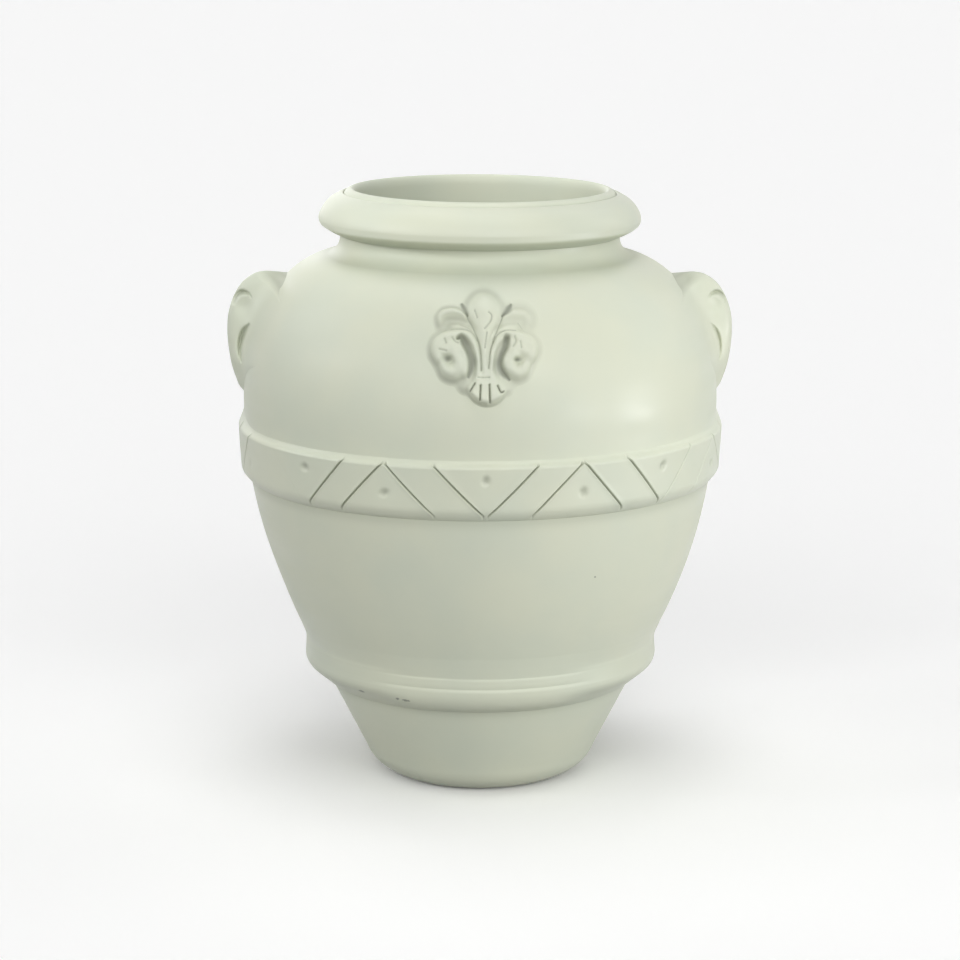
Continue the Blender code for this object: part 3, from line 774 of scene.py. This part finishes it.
RIGHT = {
    "leaf": 0.75,
    "eye": (30.3, 14.3, 3.6, 1.8),
    "gap": [
        (20.6, 32.4, 2.4), (19.1, 26, 3), (15, 17.4, 2.6), (13.6, 9.8, 2.9), (16.2, 3.5, 2.7),
        (22.8, -3.1, 1.2),
    ],
    "wedge": [(25.2, 61.6, 1.6), (23, 58.6, 3.1), (19.8, 55, 2.5), (16.6, 52, 1)],
    "edge": [(18, 53.5), (16.2, 49.4), (12.8, 42.2), (7.8, 29.4), (5, 20.6), (3.6, 7)],
    "crease": [(7.7, 28.2), (9.8, 32.9), (13.8, 37), (20.6, 39.3), (28.6, 39.3)],
    "strokes": [
        [(27.3, 33.4), (28.5, 29.3), (25.8, 25)], [(32.5, 29.3), (33.1, 23.8)], [(31.5, 46.6), (35.4, 41.4)],
    ],
}
PETAL_STROKES = [
    [(-8.6, 54.5), (-6.4, 48.8)], [(4, 52.5), (6.6, 50.6), (5.8, 46.4), (0.3, 40)],
    [(2.3, 36.9), (1.2, 31), (0.3, 24.4)],
]
TASSEL_SLOTS = [
    [(-9.2, -6.4), (-13.5, -13.4)], [(-3.9, -8), (-4.6, -21)], [(4.1, -7.6), (4.4, -23.2)],
    [(11.5, -8.5), (14.2, -14.2), (17, -13.6)],
]
TIE_LINE = [(-6.5, -1.1), (-1, -1.3), (4.2, -1.1)]
# Tools: half width, depth and painted shade of the mark that each leaves
STROKE_TOOL = (0.75, 1.3, 0.4)
CREASE_TOOL = (0.8, 1.8, 0.5)
EDGE_TOOL = (0.7, 2.2, 0.75)
SLOT_TOOL = (0.75, 3.6, 1.0)
TIE_TOOL = (0.6, 1.6, 0.5)
PETAL_TOOL = (0.7, 1.4, 0.6)
# Hollows: the height of their floor and their painted shade
GAP = (0.9, 0.95)
EYE = (3.0, 1.0)
# The lily's edge is thumbed out to just inside the wall, and its back lies deeper
LILY_EDGE = -0.45
LILY_BACK = -4.0
LILY_CELL = 0.55
# The tassel's strands fan out from a place this far above the tie, by this angle to either side
FAN_RISE = 22
FAN_ANGLE = math.radians(26)


def tassel_height(x, w):
    """A fan of strands that thickens downwards, with a small lump of clay at either side."""
    fan = (np.arctan2(x, FAN_RISE - w) - 0.04) / FAN_ANGLE
    far = np.hypot(x, FAN_RISE - w)
    length = 48 + 1.2 * fan - 8.5 * fan**2
    along = np.clip((far - FAN_RISE) / np.maximum(length - FAN_RISE, 1), 0, 1)
    body = 6.4 + 6.6 * along**1.3
    edge = np.minimum(np.minimum((1.08 - np.abs(fan)) * 11, length - far), (far - 20) * 1.5)
    rounded = np.sqrt(np.clip(1 - (1 - np.clip(edge / 6.5, 0, 1)) ** 2, 0, 1))
    fan_height = np.where(edge > 0, body * rounded, edge * 2)
    right = roll(x, w, [(15, -5, 5, 4), (19, -9.5, 5, 3.4)])
    left = roll(-x, w, [(14, -5, 5, 3), (18, -8, 4.6, 2)])
    return merge(fan_height, merge(left, right, 1), 1.5)


class Clay:
    """A lump of clay seen from the front: how high it stands, and how much painted shade lies in its marks.
    """

    def __init__(self, x, w):
        self.x, self.w = x, w
        self.height = np.full(x.shape, -6.0)
        self.shade = np.zeros(x.shape)

    def scratch(self, line, tool, side=1, steps=8):
        """Drags a pointed tool along a line of places."""
        width, depth, shade = tool
        reach, _ = nearest(self.x * side, self.w, smooth_line(line, steps))
        mark = np.exp(-((reach / width) ** 2))
        self.height = self.height - depth * mark
        self.shade = np.maximum(self.shade, shade * mark)

    def hollow_painted_shade(self, mark, floor, shade):
        """Presses the clay to a floor height, and paints shade into it."""
        self.height = self.height + (floor - self.height) * mark
        self.shade = np.maximum(self.shade, shade * mark)


def lily_forms(x, w):
    """The sprigs before the tool goes over them: leaves, scrolls and stems, petal and tassel."""
    u = np.abs(x)
    leaf = roll(u, w, LEAF, edge=0.9) * np.where(x < 0, LEFT["leaf"], RIGHT["leaf"])
    half = merge(leaf, roll(u, w, BLADE), 1.4)
    outside = merge(roll(u, w, COIL), roll(u, w, KNOB), 3)
    lump = merge(outside, merge(roll(u, w, HEART), roll(u, w, INNER), 3), 3)
    half = merge(merge(half, lump, 1.4), roll(u, w, STEM), 1.2)
    height = merge(half, roll(x, w, PETAL, 10, 2.4, 0.85), 1.0)
    return merge(height, tassel_height(x, w), 1.2)


def make_lily(tree, finish):
    """The lily, sculpted as one relief over its seven sprigs."""
    x, w = np.meshgrid(np.arange(-60, 60 + LILY_CELL, LILY_CELL), np.arange(-34, 82, LILY_CELL))
    clay = Clay(x, w)
    clay.height = soften(lily_forms(x, w), 1.5 / LILY_CELL)
    thumbed = 0.35 * np.sin(0.33 * x + 0.7) * np.sin(0.41 * w - 0.4)
    clay.height = clay.height + thumbed * ease(2, 6, clay.height)
    for side, marks in ((-1, LEFT), (1, RIGHT)):
        u = x * side
        reach, (near, _, wide) = nearest(u, w, smooth_line(marks["gap"], 8))
        clay.hollow_painted_shade(np.exp(-((reach / wide / np.where(u < near, 1.25, 1.0)) ** 2.3)), *GAP)
        reach, (_, _, wide) = nearest(u, w, smooth_line(marks["wedge"], 8))
        clay.hollow_painted_shade(np.exp(-((reach / wide) ** 2.3)), *GAP)
        eye_x, eye_w, wide, high = marks["eye"]
        clay.hollow_painted_shade(np.exp(-(np.hypot((u - eye_x) / wide, (w - eye_w) / high) ** 2.4)), *EYE)
        for stroke in marks["strokes"]:
            clay.scratch(stroke, STROKE_TOOL, side)
        clay.scratch(marks["crease"], CREASE_TOOL, side, 12)
        clay.scratch(marks["edge"], EDGE_TOOL, side, 12)
    for slot in TASSEL_SLOTS:
        clay.scratch(slot, SLOT_TOOL, steps=24)
    clay.scratch(TIE_LINE, TIE_TOOL)
    for stroke in PETAL_STROKES:
        clay.scratch(stroke, PETAL_TOOL)
    height = merge(soften(clay.height, 0.7), np.full(x.shape, LILY_EDGE), 8.0)
    # painted shade round the lily's foot, stronger on the left, away from the light
    painted_halo_shade = 0.3 * np.clip(0.75 - x / 90, 0.5, 1.1)
    clay.shade = np.maximum(clay.shade, painted_halo_shade * ease(-0.4, 1, height) * ease(6, 1.5, height))
    wanted = height > LILY_EDGE + 0.03
    cells = wanted[:-1, :-1] | wanted[1:, :-1] | wanted[:-1, 1:] | wanted[1:, 1:]
    front = pressed((x + LILY_X) * MM, (TIE_Z + w) * MM, height * MM)
    back = pressed((x + LILY_X) * MM, (TIE_Z + w) * MM, np.full(x.shape, LILY_BACK * MM))
    mesh = relief_mesh("lily", front, back, cells, clay.shade)
    piece = formed("lily", mesh, tree, {"Finish": finish["painted_lily"]}, 60.0)
    keep(piece, "painted_lily", "lily_petal", "lily_left_leaf", "lily_right_leaf", "lily_left_scroll",
         "lily_right_scroll", "lily_tie", "lily_tassel")


def relief_mesh(name, front, back, cells, shade):
    """A closed sheet of clay: front and back points over the wanted cells, with a wall round the edge."""
    high, wide = front.shape[:2]
    count = high * wide
    number = np.arange(count).reshape(high, wide)
    quads = np.stack([number[:-1, :-1], number[:-1, 1:], number[1:, 1:], number[1:, :-1]], axis=-1)
    quads = quads[cells].tolist()
    faces = quads + [[v + count for v in reversed(quad)] for quad in quads]
    sides = {}
    for quad in quads:
        for a, b in zip(quad, quad[1:] + quad[:1]):
            if (b, a) in sides:
                del sides[b, a]
            else:
                sides[a, b] = True
    faces += [(b, a, a + count, b + count) for a, b in sides]
    mesh = bpy.data.meshes.new(name)
    mesh.from_pydata(np.concatenate([front.reshape(-1, 3), back.reshape(-1, 3)]), [], faces)
    store(mesh, "hollow_painted_shade", np.concatenate([shade.reshape(-1), np.zeros(count)]))
    return mesh


# Ear handles, in millimetres: places as (distance from the axis, height)

EAR_CENTRE = (200.0, 455.0)
EAR_SPREAD = 3000.0
EAR_OUTLINE = [
    (178, 508), (196.7, 512.8), (208, 514.4), (217, 514.6), (227, 512), (238.5, 503.8), (247.2, 490.6),
    (252.8, 474.4), (254.5, 458.2), (253.8, 442), (251.4, 424.6), (247, 409), (241.2, 396.8), (228, 388),
    (214, 382),
]
# Radius of the strap's outer edge, the web at the top, and the heights between which the tail narrows
EAR_NOSE = 10.0
WEB_PLACE, WEB_SLOPE, WEB_DEPTH = (201.6, 500), 0.66, 9.0
TAIL_HEIGHTS = (432, 396)
TAIL_NARROWING = 0.55
# Hollows of the ear's face, with half width and depth
CURL_EYE = (236.5, 481.0)
CURL = [
    (247.2, 483.5, 1.3, 3), (245.4, 489, 2, 5.5), (241.4, 493.4, 2.2, 7), (236.6, 494.8, 1.9, 6),
    (231.8, 493, 1.3, 3), (229.2, 490, 0.8, 1),
]
SLIT = [
    (231.6, 464, 1.3, 3), (236.6, 457.4, 2.4, 7), (239.9, 449.4, 2.4, 8), (241.4, 441.2, 1.8, 6.5),
    (241.3, 434.2, 1.5, 5), (239.5, 427, 0.9, 2),
]
TROUGH = [
    (220.5, 466, 2.5, 0.6), (222.6, 455, 4, 2.4), (226.4, 441, 4.5, 3.4), (229.6, 427, 4, 2.4),
    (232, 414, 3, 0.6),
]


def ear_surface(r, z, hollows):
    """Half the ear's width at a distance from the axis and a height, and the painted shade in its hollows."""
    wall = np.vectorize(outer_radius)(np.clip(z, 140, 535) * MM) / MM
    inside = wall**2 - r**2
    wide = np.sqrt(0.5 * (inside + np.sqrt(inside**2 + EAR_SPREAD**2))) - 2.5
    wide = wide * (1 - TAIL_NARROWING * ease(*TAIL_HEIGHTS, z))
    above = (z - WEB_PLACE[1]) - WEB_SLOPE * (r - WEB_PLACE[0])
    web = ease(-5, 5, above) * ease(236, 212, r) * ease(484, 497, z)
    wide = wide - WEB_DEPTH * web
    # painted shade in the pocket under the web
    shade = 0.5 * web * ease(226, 206, r)
    dish = np.exp(-(((r - CURL_EYE[0]) / 8) ** 2) - ((z - CURL_EYE[1]) / 10) ** 2)
    wide = wide - 3 * dish
    for line, share, tone in hollows:
        reach, (_, _, half, deep) = nearest(r, z, smooth_line(line, 16))
        mark = np.exp(-((reach / half / share) ** 2.2))
        wide = wide - np.clip(np.minimum(deep * share, wide - 3), 0, None) * mark
        shade = np.maximum(shade, tone * mark * deep / 8)
    return wide, shade


def ear_rings(hollows):
    """Closed sections through the ear, fanned out from a point inside the wall, and the painted shade on
    them.
    """
    loops, shades = [], []
    for r_out, z_out in smooth_line(EAR_OUTLINE, 18):
        run = math.hypot(r_out - EAR_CENTRE[0], z_out - EAR_CENTRE[1])
        towards = ((r_out - EAR_CENTRE[0]) / run, (z_out - EAR_CENTRE[1]) / run)
        face = [(q, 1.0) for q in spread(2, run - EAR_NOSE, 60)]
        for angle in spread(math.pi / 2, 0, 16)[1:]:
            face.append((run - EAR_NOSE + EAR_NOSE * math.cos(angle) ** 0.85, math.sin(angle) ** 0.75))
        q, share = np.array(face).T
        r, z = EAR_CENTRE[0] + towards[0] * q, EAR_CENTRE[1] + towards[1] * q
        wide, shade = ear_surface(r, z, hollows)
        near = np.stack([r, -wide * share, z], axis=-1)
        far = np.stack([r, wide * share, z], axis=-1)[::-1][1:]
        loops.append(np.concatenate([near, far]))
        shades.append(np.concatenate([shade, shade[::-1][1:]]))
    return np.array(loops) * MM, np.array(shades)


def make_ears(tree, finish):
    """On each side an ear, closed between its strap and the wall, with a curl and a slit pressed in."""
    # each hollow: its line, how much of its width and depth is pressed, and the strength of its painted shade
    left = [(CURL, 1.0, 0.35), (SLIT, 1.0, 0.4)]
    right = [(TROUGH, 1.0, 0.1), (CURL, 1.0, 0.35), (SLIT, 0.6, 0.25)]
    for side, word, hollows in ((1, "right", right), (-1, "left", left)):
        points, shade = ear_rings(hollows)
        points = points * (side, 1, 1)
        high, wide = points.shape[:2]
        number = np.arange(high * wide).reshape(high, wide)
        beside = np.roll(number, -1, axis=1)
        faces = np.stack([number[:-1], beside[:-1], beside[1:], number[1:]], axis=-1).reshape(-1, 4).tolist()
        faces += [number[0].tolist(), number[-1].tolist()]
        mesh = bpy.data.meshes.new(f"{word}_handle")
        mesh.from_pydata(points.reshape(-1, 3), [], faces)
        store(mesh, "hollow_painted_shade", shade)
        piece = formed(mesh.name, mesh, tree, {"Finish": finish["painted_handle"]}, 60.0)
        keep(piece, "painted_handle", f"{word}_handle_strap", f"{word}_handle_pad")


# Studio: suns as degrees to the right of the camera, degrees up, share of full light and softness in degrees

SUNS = {
    "front_right": (15, 25, 0.225, 35), "front_left": (-15, 25, 0.205, 35),
    "right_front": (45, 25, 0.1, 35), "left_front": (-45, 25, 0.115, 35),
    "right_side": (105, 25, 0.09, 35), "left_side": (-105, 25, 0.14, 35), "left_window": (-81, 20, 0.1, 10),
    "overhead": (15, 75, 0.2, 35), "overhead_back": (-165, 75, 0.136, 35),
    "right_back": (135, 50, 0.055, 35), "left_back": (-135, 50, 0.055, 35), "behind": (-165, 3, 0.116, 35),
}
# Beams: degrees to the right and up, share, width, the height they are aimed at and the lamp's radius
BEAMS = {
    "right_low": (75, 0, 0.28, 1.4, 0.28, 0.3), "right_front_low": (45, 0, 0.135, 1.4, 0.28, 0.3),
    "mouth_light": (-62, 24, 0.2, 0.46, 0.6, 0.06),
}
BEAM_DISTANCE = 2.0
FLOOR_REACH = 60.0
BACKDROP_TONE = 0.93


def seen(tree):
    """1 for what the camera sees, also in a gloss or through glass, and 0 for light that is thrown on."""
    path = add(tree, "ShaderNodeLightPath").outputs
    mirrored = sums(tree, "MAXIMUM", path["Is Glossy Ray"], path["Is Transmission Ray"])
    return sums(tree, "MAXIMUM", path["Is Camera Ray"], mirrored)


def pale_floor():
    """A matt floor that looks white and throws little light back up."""
    material = bpy.data.materials.new("pale_floor")
    material.use_nodes = True
    tree = material.node_tree
    tree.nodes.clear()
    tone = mixed(tree, seen(tree), (*[FLOOR_BOUNCE] * 3, 1), (*[FLOOR_TONE] * 3, 1))
    matt = add(tree, "ShaderNodeBsdfDiffuse", {"Color": tone}).outputs[0]
    add(tree, "ShaderNodeOutputMaterial", {"Surface": matt})
    return material


def make_studio():
    """A pale room: the camera and its backdrop, the lamps and the floor."""
    scene = bpy.context.scene
    scene.view_settings.view_transform = "Standard"
    data = bpy.data.cameras.new("camera")
    data.lens = 111.15
    data.sensor_width = 36
    data.clip_end = 200
    camera = bpy.data.objects.new("camera", data)
    around, down, distance, height = math.radians(1.3), math.radians(11.86), 2.958, 0.9214
    camera.location = (-distance * math.sin(around), -distance * math.cos(around), height)
    camera.rotation_euler = (math.pi / 2 - down, 0, -around)
    scene.collection.objects.link(camera)
    scene.camera = camera

    world = bpy.data.worlds.new("studio")
    scene.world = world
    world.use_nodes = True
    backdrop = world.node_tree.nodes["Background"].inputs
    backdrop["Color"].default_value = (*[BACKDROP_TONE] * 3, 1)
    world.node_tree.links.new(seen(world.node_tree), backdrop["Strength"])

    def lamp(name, data, azimuth, elevation, distance=1.0, height=0.0):
        """Hangs a lamp that faces the jar, to the right of the camera by azimuth."""
        holder = bpy.data.objects.new(name, data)
        a, e = math.radians(azimuth), math.radians(elevation)
        towards = Vector((math.sin(a) * math.cos(e), -math.cos(a) * math.cos(e), math.sin(e)))
        holder.location = towards * distance + Vector((0, 0, height))
        holder.rotation_euler = towards.to_track_quat("Z", "Y").to_euler()
        holder.visible_camera = False
        scene.collection.objects.link(holder)

    for name, (azimuth, elevation, share, softness) in SUNS.items():
        data = bpy.data.lights.new(name, "SUN")
        data.energy = share * math.pi
        data.angle = math.radians(softness)
        lamp(name, data, azimuth, elevation)
    for name, (azimuth, elevation, share, width, height, lamp_radius) in BEAMS.items():
        data = bpy.data.lights.new(name, "SPOT")
        data.spot_size = 2 * math.atan(width / 2 / BEAM_DISTANCE)
        data.spot_blend = 1.0
        data.shadow_soft_size = lamp_radius
        data.energy = share * (2 * math.pi * BEAM_DISTANCE) ** 2
        lamp(name, data, azimuth, elevation, BEAM_DISTANCE, height)

    mesh = bpy.data.meshes.new("floor")
    corners = [(x * FLOOR_REACH, y * FLOOR_REACH, 0) for x, y in ((-1, -1), (1, -1), (1, 1), (-1, 1))]
    mesh.from_pydata(corners, [], [(0, 1, 2, 3)])
    floor = bpy.data.objects.new("floor", mesh)
    floor.location.z = -0.0005
    scene.collection.objects.link(floor)
    mesh.materials.append(pale_floor())


def main():
    """Paints and forms the pieces, and sets them in the studio."""
    # clay is the paint's own colour; shade and deep_shade are painted shade for hollows, creases and
    # undersides
    clay, shade, deep_shade = (0.655, 0.687, 0.560), (0.30, 0.32, 0.245), (0.22, 0.235, 0.18)
    groups = {
        "paint": uneven_paint_group(), "smoothing": smoothing_group(), "hollow_painted_shade": painted_shade_group(),
        "nick": nick_group(), "pinholes": pinhole_group(),
    }
    pin = [((0.1063, -0.1908, 0.2445), (1.1 * MM, 4 * MM, 1.1 * MM))]
    chips = [
        ((-0.1198, -0.1237, 0.1137), (4 * MM, 8 * MM, 1.9 * MM)),
        ((-0.0844, -0.154, 0.1138), (2 * MM, 8 * MM, 1.6 * MM)),
        ((-0.0761, -0.158, 0.1134), (4.6 * MM, 8 * MM, 1.5 * MM)),
    ]
    paints = {
        "painted_wall": (shade, 0.44, pin), "painted_moulding": (shade, 0.4, chips),
        "painted_handle": (shade, 0.44), "painted_lily": (deep_shade, 0.46),
    }
    finish = {slot: painted_clay(slot, groups, clay, *paint) for slot, paint in paints.items()}
    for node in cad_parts.values():
        node.data.materials.clear()
        node.data.materials.append(finish["painted_wall"])
    hand = hand_tree()
    pressed_on = pressed_tree(hand)
    make_turned(wheel_tree(hand), finish)
    make_band(incising_tree(hand), finish)
    make_lily(pressed_on, finish)
    make_ears(pressed_on, finish)
    make_studio()


main()
